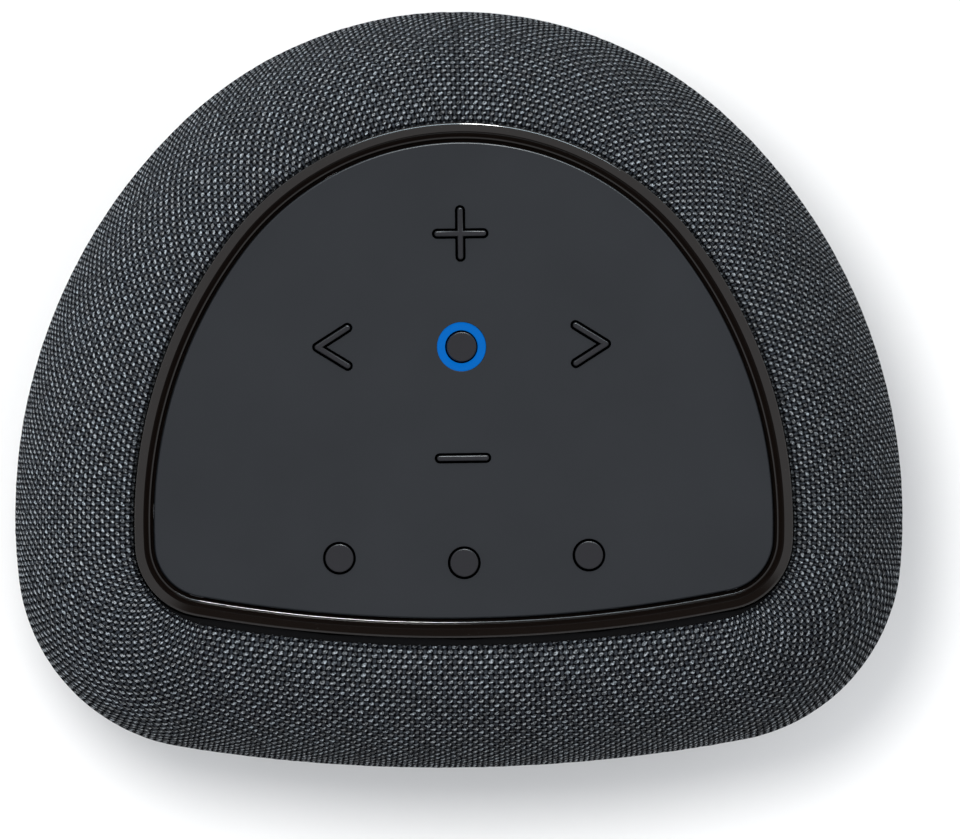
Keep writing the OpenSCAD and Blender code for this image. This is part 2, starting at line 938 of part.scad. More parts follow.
module base_cover() {
    wall_x = -base_wall_in;
    groove = [
        [-foot_out - foot_w - 0.1, 0], [-foot_out - foot_w - 0.1, foot_h + touch],
        [-foot_out + 0.1, foot_h + touch], [-foot_out + 0.1, 0]
    ];
    rim = [
        [-24, base_z], [-24, base_z + base_t], [wall_x - base_wall_t, base_z + base_t],
        [wall_x - base_wall_t, base_wall_z], [wall_x, base_wall_z], [wall_x, base_rim_z],
        [-base_in, base_rim_z], [-base_in, base_z + 2], [-7.2, base_z + 1], [-8.2, base_z + 0.3],
        [-9.4, base_z]
    ];
    color([0.06, 0.06, 0.06])
        difference() {
            union() {
                sweep(body, rim);
                plate(body, -23.5, base_z, base_t);
                for (a = base_screw_at)
                    translate(spot(body, a, -base_screw_in))
                        rod(8, base_z + 1, lid_z - base_z - 1 - touch);
                for (p = main_screw_at)
                    translate(p)
                        rod(5.5, base_z + 1, board_z - base_z - 1 - touch);
            }
            sweep(body, groove);
            for (a = base_screw_at)
                translate(spot(body, a, -base_screw_in)) {
                    rod(m3[1] + 0.5, 0, 5);
                    rod(m3[0] + 0.4, 0, 20);
                }
            for (p = main_screw_at)
                translate(p)
                    rod(m25[0], base_z + base_t, 20);
            translate([-12.5, 44, base_z + base_t])
                cube([25, 14, 20]);
        }
}
module base_screws() {
    color([0.6, 0.6, 0.62])
        for (a = base_screw_at)
            translate(spot(body, a, -base_screw_in))
                screw_up([m3[0] - 0.1, m3[1], m3[2]], 5 - m3[2] - eps, 18);
}
module foot_ring() {
    x0 = -foot_out - foot_w;
    x1 = -foot_out;
    edge = 0.4;
    profile = [
        [x0 + edge, 0], [x0, edge], [x0, foot_h], [x1, foot_h], [x1, edge], [x1 - edge, 0]
    ];
    color([0.05, 0.05, 0.05])
        sweep(body, profile);
}

fabric_cover();
grille_shell();
top_bezel();
control_panel();
light_ring();
volume_up_button();
volume_down_button();
previous_button();
next_button();
action_button();
left_preset_button();
middle_preset_button();
right_preset_button();
top_frame();
frame_screws();
keypad_membrane();
key_board();
key_board_screws();
tact_switches();
ring_leds();
enclosure_body();
enclosure_lid();
damping_foam();
driver_gasket();
driver_basket();
front_plate();
driver_magnet();
pole_plate();
voice_coil();
speaker_cone();
dust_cap();
cone_surround();
spider();
driver_terminals();
driver_screws();
speaker_lead();
lead_grommet();
main_board();
processor_shield();
heat_spreader();
radio_module();
board_components();
main_board_screws();
ribbon_cable();
ribbon_connectors();
antennas();
power_inlet();
port_panel();
base_cover();
base_screws();
foot_ring();
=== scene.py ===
"""Looks of the smart home hub: woven sleeve, gloss ring, satin panel, keys, lit ring, the driver's
flexible rings, base, foot and port collar.

Shapes are written in millimetres and turned into metres by MM. The outlines and heights are those of
part.scad.
"""
import json
import math

import bmesh
import bpy
import numpy as np
from mathutils import Matrix, Vector
from mathutils.geometry import delaunay_2d_cdt


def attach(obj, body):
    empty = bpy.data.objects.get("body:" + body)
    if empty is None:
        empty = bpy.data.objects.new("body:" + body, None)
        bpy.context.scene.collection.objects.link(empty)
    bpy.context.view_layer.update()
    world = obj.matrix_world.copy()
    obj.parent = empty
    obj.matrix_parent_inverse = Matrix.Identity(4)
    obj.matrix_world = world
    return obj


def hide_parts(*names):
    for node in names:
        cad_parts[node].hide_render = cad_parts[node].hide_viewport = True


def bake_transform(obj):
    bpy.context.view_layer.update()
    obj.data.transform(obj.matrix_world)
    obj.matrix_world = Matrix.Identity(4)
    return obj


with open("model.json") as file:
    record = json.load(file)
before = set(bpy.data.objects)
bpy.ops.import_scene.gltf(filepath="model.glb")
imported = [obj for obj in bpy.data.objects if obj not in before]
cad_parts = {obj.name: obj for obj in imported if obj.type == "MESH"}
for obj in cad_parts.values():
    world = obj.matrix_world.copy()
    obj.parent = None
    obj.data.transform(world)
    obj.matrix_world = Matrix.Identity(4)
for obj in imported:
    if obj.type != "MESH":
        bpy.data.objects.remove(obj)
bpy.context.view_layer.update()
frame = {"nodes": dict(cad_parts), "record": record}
MM = 0.001

# ---------- sizes shared with the CAD model ----------
# an outline is its back's y, the radii of its back, side and corner arcs, and the directions of the
# outward normal where these arcs end, in degrees from +Y; a front arc closes it
BODY = (61.94, (65.2, 89.5, 31.5), (43.3, 96.0, 170.0))
PANEL = (40.35, (44.6, 73.4, 8.7), (52.2, 92.6, 169.2))
HEIGHT = 66.0
# the sleeve: its widest height, the ellipse above that, how far it draws in below, how far in its
# flat top may reach, and its lower edge
WAIST_Z = 40.4
SHOULDER = (20.0, 24.0)
BELLY_IN = 12.0
FLAT_TOP_IN = 26.0
FABRIC_LOW_Z = 5.0
# the panel's underside and top, and the gloss ring round it
PANEL_Z = 62.8
PANEL_TOP = 65.0
PANEL_GAP = 0.55
RING_W = 2.65
RING_LOW_Z = 61.1
# the keys: top, flange under the panel, stem, gap in the panel, and the shapes of the eight
KEY_TOP = 65.6
FLANGE_TOP = 62.65
FLANGE_T = 0.9
FLANGE_OUT = 1.2
STEM_Z = 60.75
STEM_D = 2.4
KEY_GAP = 0.37
STROKE_W = 0.9
STROKE_L = 8.5
CHEVRON = (4.95, 3.1)
PRESET_D = 4.6
ACTION_D = 4.85
ACTION_AT = (0.0, 6.9)
ACTION_FLANGE_Z = (61.0, 61.85)
LIGHT_D = 7.95
LIGHT_HOLE_D = 5.41
LIGHT_Z = (62.0, 64.7)
LAMPS = 6
KEYS = {
    "volume_up_button": ("volume_up_key", "plus", (0.0, 25.4)),
    "volume_down_button": ("volume_down_key", "minus", (0.0, -11.3)),
    "previous_button": ("previous_key", "left", (-23.6, 7.1)),
    "next_button": ("next_key", "right", (23.6, 7.1)),
    "left_preset_button": ("left_preset_key", "round", (-20.4, -27.4)),
    "middle_preset_button": ("middle_preset_key", "round", (0.0, -28.4)),
    "right_preset_button": ("right_preset_key", "round", (20.4, -27.4)),
}
# the port's face in the fabric: width, height, y and z
PORT = (21.0, 9.0, 57.2, 12.6)
# the middle of the driver, whose axis runs along Y
DRIVER_AT = np.array([0.0, -53.8, 34.8])
# the base: underside and top, the rounding of the foot, and the size, inset and directions of the
# screw holes
BASE_Z = (1.2, 3.4)
FOOT_R = 0.5
SCREW_HOLES = (6.1, 26.0, (48, 128, -128, -48))

# angles up to which an edge is shaded smooth
FLAT_SMOOTH = 35
SWEPT_SMOOTH = 40
ROUND_SMOOTH = 50


# ---------- outlines ----------
def heading(t):
    """Unit directions that are t degrees from +Y towards +X."""
    a = np.radians(np.asarray(t, float))
    return np.stack([np.sin(a), np.cos(a)], -1)


def half_arcs(o):
    """The centre, radius and first and last direction of each arc of an outline's right half."""
    back_y, r, e = o
    back = np.array([0.0, back_y - r[0]])
    side = back + (r[0] - r[1]) * heading(e[0])
    corner = side + (r[1] - r[2]) * heading(e[1])
    r_front = r[2] + corner[0] / math.sin(math.radians(e[2]))
    front = corner + (r[2] - r_front) * heading(e[2])
    return [
        (back, r[0], 0, e[0]),
        (side, r[1], e[0], e[1]),
        (corner, r[2], e[1], e[2]),
        (front, r_front, e[2], 180.0),
    ]


def outline(o, t, grow=0.0):
    """Points of the outline moved outwards by grow, where its normal is t degrees from +Y."""
    t = np.asarray(t, float)
    turn = np.mod(t + 180.0, 360.0) - 180.0
    s = np.abs(turn)
    out = np.zeros(t.shape + (2,))
    for centre, r, low, high in half_arcs(o):
        here = (s >= low) & (s <= high)
        grown = (r + np.broadcast_to(grow, t.shape))[here][:, None]
        out[here] = centre + grown * heading(s[here])
    out[..., 0] *= np.where(turn < 0, -1.0, 1.0)
    return out


def even_angles(o, step, grow=0.0):
    """Directions of the normal at points a step apart along the outline, in degrees from +Y.

    The step is a length, or a function that gives it from the angle to +Y."""
    t = np.linspace(0, 360, 14401)
    p = outline(o, t, grow)
    d = np.linalg.norm(np.diff(p, axis=0), axis=1)
    mid = (t[1:] + t[:-1]) / 2
    local = step(np.minimum(mid, 360 - mid)) if callable(step) else step
    total = np.concatenate([[0], np.cumsum(d / local)])
    n = int(round(total[-1] / 2)) * 2
    return np.interp(np.arange(n) * total[-1] / n, total, t)


# tangent lines round the panel: their directions and their distances from the origin
SUPPORT_T = np.linspace(0, 360, 721)[:-1]
SUPPORT_N = heading(SUPPORT_T)
SUPPORT_H = (outline(PANEL, SUPPORT_T) * SUPPORT_N).sum(1)


def off_panel(p):
    """How far points lie outside each tangent line; the largest is their distance from the panel."""
    return p @ SUPPORT_N.T - SUPPORT_H


# ---------- meshes ----------
def new_object(name, verts, faces, smooth_deg):
    """A mesh object from points in millimetres, shaded smooth up to an angle."""
    me = bpy.data.meshes.new(name)
    me.from_pydata([tuple(v) for v in np.asarray(verts) * MM], [], faces)
    me.validate()
    ob = bpy.data.objects.new(name, me)
    bpy.context.scene.collection.objects.link(ob)
    smooth(ob, smooth_deg)
    return ob


def is_level(z):
    return max(z) - min(z) < 1e-7


def smooth(ob, deg):
    """Smooth shading up to an angle, except that level faces are shaded flat."""
    me = ob.data
    me.shade_smooth()
    me.set_sharp_from_angle(angle=math.radians(deg))
    level = {}
    for f in me.polygons:
        if is_level([me.vertices[i].co.z for i in f.vertices]):
            level[f.index] = math.copysign(1.0, f.normal.z)
    if not level:
        return
    bm = bmesh.new()
    bm.from_mesh(me)
    for e in bm.edges:
        flat = [f.index in level for f in e.link_faces]
        if len(flat) == 2 and flat[0] != flat[1]:
            e.smooth = False
    bm.to_mesh(me)
    bm.free()
    normals = [tuple(n.vector) for n in me.corner_normals]
    for i, up in level.items():
        for k in me.polygons[i].loop_indices:
            normals[k] = (0.0, 0.0, up)
    me.normals_split_custom_set(normals)


def grid_faces(n, m, wrap_n=True, wrap_m=False, flip=False):
    """Faces over n rows of m points, joined up at the ends of the rows or columns that wrap."""
    faces = []
    for i in range(n if wrap_n else n - 1):
        k = (i + 1) % n
        for j in range(m if wrap_m else m - 1):
            q = (j + 1) % m
            f = (i * m + j, i * m + q, k * m + q, k * m + j)
            faces.append(f[::-1] if flip else f)
    return faces


def sweep(name, o, profile, step, smooth_deg):
    """Sweeps a closed profile of (distance outwards, height) round an outline."""
    t = even_angles(o, step)
    prof = np.asarray(profile, float)
    verts = np.zeros((len(t), len(prof), 3))
    for j, (grow, z) in enumerate(prof):
        verts[:, j, :2] = outline(o, t, grow)
        verts[:, j, 2] = z
    faces = grid_faces(len(t), len(prof), wrap_m=True)
    return new_object(name, verts.reshape(-1, 3), faces, smooth_deg)


def close_level(bm, z):
    """Fills a flat side at one height again with even triangles, leaving its holes open."""

    def at_z(item):
        return all(abs(v.co.z - z) < 1e-6 for v in item.verts)

    bmesh.ops.delete(bm, geom=[f for f in bm.faces if at_z(f)], context="FACES")
    edges = [e for e in bm.edges if e.is_boundary and at_z(e)]
    bm.verts.index_update()
    verts = sorted({v for e in edges for v in e.verts}, key=lambda v: v.index)
    order = {v.index: i for i, v in enumerate(verts)}
    flat = [v.co.xy / MM for v in verts]
    links = [tuple(order[v.index] for v in e.verts) for e in edges]
    a = np.array([flat[i] for i, _ in links])
    b = np.array([flat[j] for _, j in links])
    _, _, found, source, _, _ = delaunay_2d_cdt(flat, links, [], 0, 1e-7)
    tris = [[source[i][0] for i in tri] for tri in found]
    # a triangle is inside where a line from its middle crosses the borders an odd number of times
    for tri in tris:
        x, y = np.mean([flat[i] for i in tri], 0)
        spans = (a[:, 1] > y) != (b[:, 1] > y)
        lean = (b[spans, 0] - a[spans, 0]) / (b[spans, 1] - a[spans, 1])
        if (a[spans, 0] + lean * (y - a[spans, 1]) > x).sum() % 2:
            bm.faces.new([verts[i] for i in tri])


def plate(name, loops, z0, z1, bevel, res):
    """A flat piece between z0 and z1 from an outer loop and any holes, with rounded edges."""
    cu = bpy.data.curves.new(name, "CURVE")
    cu.dimensions = "2D"
    cu.fill_mode = "BOTH"
    for loop in loops:
        sp = cu.splines.new("POLY")
        sp.points.add(len(loop) - 1)
        for p, (x, y) in zip(sp.points, loop):
            p.co = (x * MM, y * MM, 0, 1)
        sp.use_cyclic_u = True
    cu.extrude = ((z1 - z0) / 2 - bevel) * MM
    cu.bevel_depth = bevel * MM
    cu.bevel_resolution = res
    cu.offset = -bevel * MM
    ob = bpy.data.objects.new(name, cu)
    bpy.context.scene.collection.objects.link(ob)
    bpy.context.view_layer.update()
    me = bpy.data.meshes.new_from_object(ob.evaluated_get(bpy.context.evaluated_depsgraph_get()))
    bpy.data.objects.remove(ob)
    bpy.data.curves.remove(cu)
    me.name = name
    me.transform(Matrix.Translation((0, 0, (z0 + z1) / 2 * MM)))
    bm = bmesh.new()
    bm.from_mesh(me)
    bmesh.ops.remove_doubles(bm, verts=bm.verts, dist=1e-6)
    close_level(bm, z0 * MM)
    close_level(bm, z1 * MM)
    bmesh.ops.recalc_face_normals(bm, faces=bm.faces)
    for f in bm.faces:
        z = [v.co.z for v in f.verts]
        if is_level(z) and (z[0] > (z0 + z1) / 2 * MM) != (f.normal.z > 0):
            f.normal_flip()
    bm.to_mesh(me)
    bm.free()
    me.materials.clear()
    out = bpy.data.objects.new(name, me)
    bpy.context.scene.collection.objects.link(out)
    smooth(out, FLAT_SMOOTH)
    return out


def join(name, parts):
    """One object made of the parts, which are removed."""
    bm = bmesh.new()
    for p in parts:
        bm.from_mesh(p.data)
    me = bpy.data.meshes.new(name)
    bm.to_mesh(me)
    bm.free()
    for p in parts:
        bpy.data.objects.remove(p)
    ob = bpy.data.objects.new(name, me)
    bpy.context.scene.collection.objects.link(ob)
    smooth(ob, FLAT_SMOOTH)
    return ob


# ---------- flat shapes ----------
# points on each round end of a stroke
TIP_N = 13


def arc_points(c, r, a0, a1, n):
    a = np.radians(np.linspace(a0, a1, n))
    return np.stack([c[0] + r * np.cos(a), c[1] + r * np.sin(a)], -1)


def circle(d, at, n=96):
    return arc_points(at, d / 2, 0, 360 - 360 / n, n)


def bar(l, w, at):
    """A stroke with round ends along X."""
    e = (l - w) / 2
    right = arc_points((e, 0), w / 2, -90, 90, TIP_N)
    left = arc_points((-e, 0), w / 2, 90, 270, TIP_N)
    return np.concatenate([right, left]) + np.asarray(at)


def plus(l, w, at):
    """Two crossed strokes with round ends, as four arms turned from the first."""
    pts = []
    for k in range(4):
        arm = np.concatenate([[[w / 2, -w / 2]], arc_points(((l - w) / 2, 0), w / 2, -90, 90, TIP_N)])
        c, s = round(math.cos(k * math.pi / 2)), round(math.sin(k * math.pi / 2))
        pts.append(arm @ np.array([[c, s], [-s, c]]))
    return np.concatenate(pts) + np.asarray(at)


def chevron(w, at, flip):
    """Two strokes with round ends that meet at the left, or at the right when flipped."""
    b = math.degrees(math.atan2(CHEVRON[1], CHEVRON[0]))
    tip_low, tip_high = np.array([CHEVRON[0], -CHEVRON[1]]), np.array(CHEVRON)
    pts = np.concatenate([
        [[w / 2 / math.sin(math.radians(b)), 0]],
        arc_points(tip_low, w / 2, 90 - b, -90 - b, TIP_N),
        arc_points((0, 0), w / 2, 270 - b, 90 + b, TIP_N),
        arc_points(tip_high, w / 2, 90 + b, -90 + b, TIP_N),
    ])
    pts = pts[::-1]
    if flip:
        pts = (pts * [-1, 1])[::-1]
    return pts + np.asarray(at)


def key_shape(kind, at, grow):
    """The outline of a key, grown on all sides."""
    w, l = STROKE_W + 2 * grow, STROKE_L + 2 * grow
    if kind == "plus":
        return plus(l, w, at)
    if kind == "minus":
        return bar(l, w, at)
    if kind in ("left", "right"):
        return chevron(w, at, kind == "right")
    return circle(PRESET_D + 2 * grow, at, 64)


# ---------- materials ----------
BLACK = (0.0, 0.0, 0.0)


class Tree:
    """Short calls that make nodes in a node tree and return an output."""

    def __init__(self, tree):
        self.tree = tree

    def node(self, kind, ins=None, **props):
        """A node with its settings, and inputs by name or number as values or other outputs."""
        n = self.tree.nodes.new(kind)
        for k, v in props.items():
            setattr(n, k, v)
        for k, v in (ins or {}).items():
            if isinstance(v, bpy.types.NodeSocket):
                self.tree.links.new(v, n.inputs[k])
            else:
                n.inputs[k].default_value = v
        return n

    def math(self, op, a, b=0.0, clamp=False):
        return self.node("ShaderNodeMath", {0: a, 1: b}, operation=op, use_clamp=clamp).outputs[0]

    def add(self, a, b):
        return self.math("ADD", a, b)

    def sub(self, a, b):
        return self.math("SUBTRACT", a, b)

    def mul(self, a, b):
        return self.math("MULTIPLY", a, b)

    def xyz(self, at):
        return self.node("ShaderNodeSeparateXYZ", {0: at}).outputs

    def span(self, value, low, high, out_low=0.0, out_high=1.0, step="LINEAR"):
        """Maps the range from low to high onto the range from out_low to out_high."""
        return self.node("ShaderNodeMapRange", {0: value, 1: low, 2: high, 3: out_low, 4: out_high},
                         interpolation_type=step).outputs[0]

    def mix(self, fac, a, b, blend="MIX"):
        """A mix of two colours, each an output or red, green and blue."""
        a, b = (v if isinstance(v, bpy.types.NodeSocket) else (*v, 1.0) for v in (a, b))
        n = self.node("ShaderNodeMix", {0: fac, 6: a, 7: b}, data_type="RGBA", blend_type=blend)
        return n.outputs[2]


class Shader(Tree):
    """A material under construction."""

    def __init__(self, name, color, rough, metallic=0.0, specular=0.5):
        self.mat = bpy.data.materials.new(name)
        self.mat.use_nodes = True
        super().__init__(self.mat.node_tree)
        self.bsdf = self.tree.nodes["Principled BSDF"]
        self.set("Base Color", (*color, 1.0))
        self.set("Roughness", rough)
        self.set("Metallic", metallic)
        self.set("Specular IOR Level", specular)
        self.mat.diffuse_color = (*color, 1.0)

    def set(self, socket, value):
        self.bsdf.inputs[socket].default_value = value

    def link(self, value, socket):
        self.tree.links.new(value, self.bsdf.inputs[socket])

    def place(self):
        """The object's own coordinates, which are metres in the shared frame."""
        return self.node("ShaderNodeTexCoord").outputs["Object"]

    def noise(self, scale, detail, rough=0.5, at=None):
        return self.node("ShaderNodeTexNoise", {
            "Scale": scale, "Detail": detail, "Roughness": rough, "Vector": at or self.place(),
        }).outputs["Fac"]

    def stretch(self, scale):
        n = self.node("ShaderNodeMapping", {"Scale": scale, "Vector": self.place()})
        return n.outputs["Vector"]

    def blend(self, a, b, share):
        """A sum of two outputs, share of the first and the rest of the second."""
        return self.add(self.mul(a, share), self.mul(b, 1 - share))

    def tint(self, fac, color, low, high):
        """The base colour, from low to high times a colour."""
        dark, light = [c * low for c in color], [min(1, c * high) for c in color]
        self.link(self.mix(fac, dark, light), "Base Color")

    def bump(self, height, depth, strength):
        """Bump on the surface, depth millimetres deep."""
        ins = {"Height": height, "Distance": depth * MM, "Strength": strength}
        self.link(self.node("ShaderNodeBump", ins).outputs["Normal"], "Normal")


def moulded(name, color, rough, grain=0.35, depth=0.02, specular=0.4, wear=0.08):
    """Moulded plastic or rubber: fine spark texture, uneven sheen and faint rubbing."""
    s = Shader(name, color, rough, specular=specular)
    fine = s.noise(1000 / grain, 2.0, 0.6)
    broad = s.noise(90, 3.0)
    s.tint(s.span(broad, 0.3, 0.7), color, 1 - wear, 1 + wear)
    s.link(s.span(s.blend(fine, broad, 0.5), 0.3, 0.7, rough - 0.07, rough + 0.07), "Roughness")
    s.bump(fine, depth, 0.7)
    return s.mat


def metal(name, color, rough, along=(1, 12, 12)):
    """Plated or brushed metal: fine directional scratches and a slightly blotchy sheen."""
    s = Shader(name, color, rough, metallic=1.0)
    lines = s.noise(900, 3.0, 0.6, s.stretch(along))
    broad = s.noise(140, 2.0)
    s.tint(broad, color, 0.9, 1.1)
    s.link(s.span(lines, 0.25, 0.75, max(0.05, rough - 0.1), rough + 0.12), "Roughness")
    s.bump(lines, 0.006, 0.6)
    return s.mat


def board(name):
    """Solder mask with a faint pattern of tracks under it."""
    s = Shader(name, (0.012, 0.085, 0.045), 0.32)
    cells = s.node("ShaderNodeTexVoronoi", {"Scale": 420.0, "Vector": s.place()},
                   distance="MANHATTAN", feature="DISTANCE_TO_EDGE")
    tracks = s.span(cells.outputs["Distance"], 0.03, 0.1, 1.0, 0.0)
    grain = s.noise(2500, 2.0)
    s.link(s.mix(tracks, (0.010, 0.075, 0.04), (0.03, 0.16, 0.075)), "Base Color")
    s.link(s.span(grain, 0.3, 0.7, 0.26, 0.4), "Roughness")
    s.bump(tracks, 0.03, 0.7)
    return s.mat


def cloth(name, color, scale, rough=0.9):
    """Pressed or woven sheet: paper pulp, spider cloth and foam."""
    s = Shader(name, color, rough, specular=0.2)
    fibre = s.noise(scale, 5.0, 0.7)
    s.tint(s.span(fibre, 0.3, 0.7), color, 0.7, 1.3)
    s.link(s.span(fibre, 0.3, 0.7, rough - 0.1, min(1.0, rough + 0.08)), "Roughness")
    s.bump(fibre, 0.08, 0.8)
    return s.mat


def stripes(s, axis, pitch):
    """Rises and falls once every pitch millimetres along an axis."""
    wave = s.math("SINE", s.mul(s.xyz(s.place())[axis], math.pi / (pitch * MM)))
    return s.math("ABSOLUTE", wave)


def coil(name):
    """Windings of enamelled wire round the driver's axis, which runs along Y."""
    s = Shader(name, (0.6, 0.25, 0.1), 0.28, metallic=1.0)
    wire = stripes(s, "Y", 0.22)
    # the colour darkens between the windings: painted shade where the round wires meet
    s.link(s.mix(wire, (0.2, 0.06, 0.02), (0.75, 0.33, 0.14)), "Base Color")
    s.link(s.span(wire, 0.0, 1.0, 0.45, 0.25), "Roughness")
    s.bump(wire, 0.06, 0.8)
    return s.mat


def ribbon(name):
    """Flat cable: fine conductors along it under a pale film."""
    s = Shader(name, (0.75, 0.75, 0.7), 0.4)
    line = stripes(s, "X", 0.5)
    s.link(s.mix(s.span(line, 0.4, 0.8), (0.78, 0.77, 0.72), (0.5, 0.48, 0.42)), "Base Color")
    s.link(s.span(line, 0.0, 1.0, 0.3, 0.5), "Roughness")
    s.bump(line, 0.03, 0.6)
    return s.mat


def level_top(s, height, top):
    """1 on a level top at top millimetres and 0 on its rounded edge."""
    return s.span(height, (top - 0.02) * MM, (top - 0.005) * MM)


def panel_satin():
    """Soft-touch paint: fine eggshell, matt on the level top and glossier on the rounded edge; the
    level top's colour is lighter to stand in for its sheen.
    """
    edge_color, edge_gloss = (0.0053, 0.0066, 0.0090), 0.24
    top_color_and_sheen, top_gloss = (0.0236, 0.0254, 0.0286), 0.02
    s = Shader("panel_satin", edge_color, 0.4, specular=edge_gloss)
    fine = s.noise(5200, 2.0, 0.6)
    broad = s.noise(45, 3.0, 0.55)
    level = level_top(s, s.xyz(s.place())["Z"], PANEL_TOP)
    # the level top is coloured lighter than the edge: a painted sheen in place of the reflection it
    # no longer gets
    paint = s.mix(level, edge_color, top_color_and_sheen)
    s.link(s.mix(s.span(broad, 0.3, 0.7, 0.0, 0.1), paint, BLACK), "Base Color")
    s.link(s.span(level, 0.0, 1.0, edge_gloss, top_gloss), "Specular IOR Level")
    s.link(s.span(s.blend(fine, broad, 0.6), 0.3, 0.7, 0.36, 0.44), "Roughness")
    s.bump(fine, 0.012, 0.6)
    return s.mat


def key_satin():
    """The keys' paint, like the panel's, rubbed by fingers; the level top is coloured lighter for its
    sheen, and below the panel's top the keys are nearly black, for the shade in the gap round them.
    """
    edge_color, edge_gloss = (0.0056, 0.0058, 0.0076), 0.26
    top_color_and_sheen, top_gloss = (0.0214, 0.0215, 0.0241), 0.02
    # the keys' sides deep in the panel's gap are coloured nearly black and lose their sheen: painted
    # shade in the gap
    gap_shade_color = (0.0006, 0.0006, 0.0006)
    s = Shader("key_satin", edge_color, 0.36, specular=edge_gloss)
    fine = s.noise(4200, 2.0, 0.6)
    worn = s.noise(320, 3.0, 0.6)
    rubbed = s.span(worn, 0.35, 0.65)
    height = s.xyz(s.place())["Z"]
    # mask for the painted shade in the gap: 0 deep in the gap and 1 above it
    clear_of_gap_shade = s.span(height, (PANEL_TOP - 1.4) * MM, (PANEL_TOP - 0.6) * MM)
    level = level_top(s, height, KEY_TOP)
    paint = s.mix(rubbed, [c * 0.92 for c in edge_color], [c * 1.1 for c in edge_color])
    # the level top is coloured lighter than the edge: a painted sheen in place of the reflection it
    # no longer gets
    paint = s.mix(level, paint, top_color_and_sheen)
    s.link(s.mix(clear_of_gap_shade, gap_shade_color, paint), "Base Color")
    s.link(s.mul(clear_of_gap_shade, s.span(level, 0.0, 1.0, edge_gloss, top_gloss)), "Specular IOR Level")
    s.link(s.span(worn, 0.3, 0.7, 0.31, 0.42), "Roughness")
    s.bump(fine, 0.01, 0.5)
    return s.mat


def ring_gloss():
    """Piano-black ring: polished, with hair-fine swirl marks and a trace of dust."""
    color = (0.005, 0.0034, 0.0027)
    s = Shader("ring_gloss", color, 0.05, specular=0.34)
    swirl = s.noise(260, 4.0, 0.7, s.stretch((1, 1, 6)))
    dust = s.span(s.noise(3800, 1.0), 0.76, 0.82)
    s.link(s.mix(dust, color, (0.02, 0.018, 0.017)), "Base Color")
    polish = s.span(swirl, 0.3, 0.7, 0.03, 0.07)
    s.link(s.math("ADD", polish, s.mul(dust, 0.2), clamp=True), "Roughness")
    s.bump(swirl, 0.0015, 0.2)
    return s.mat


def light_guide():
    """Frosted light guide lit blue from below, a touch brighter over each of its six lamps."""
    s = Shader("light_guide", (0.0, 0.02, 0.08), 0.5, specular=0.03)
    at = s.xyz(s.place())
    x = s.sub(at["X"], ACTION_AT[0] * MM)
    y = s.sub(at["Y"], ACTION_AT[1] * MM)
    lamps = s.math("COSINE", s.mul(s.math("ARCTAN2", y, x), LAMPS))
    frost = s.noise(3000, 2.0)
    glow = s.add(s.mul(lamps, -0.02), s.span(frost, 0.3, 0.7, 0.97, 1.03))
    s.link(s.mix(glow, BLACK, (0.0, 0.108, 0.42)), "Emission Color")
    s.set("Emission Strength", 1.0)
    s.link(s.span(frost, 0.3, 0.7, 0.4, 0.6), "Roughness")
    s.bump(frost, 0.01, 0.5)
    return s.mat


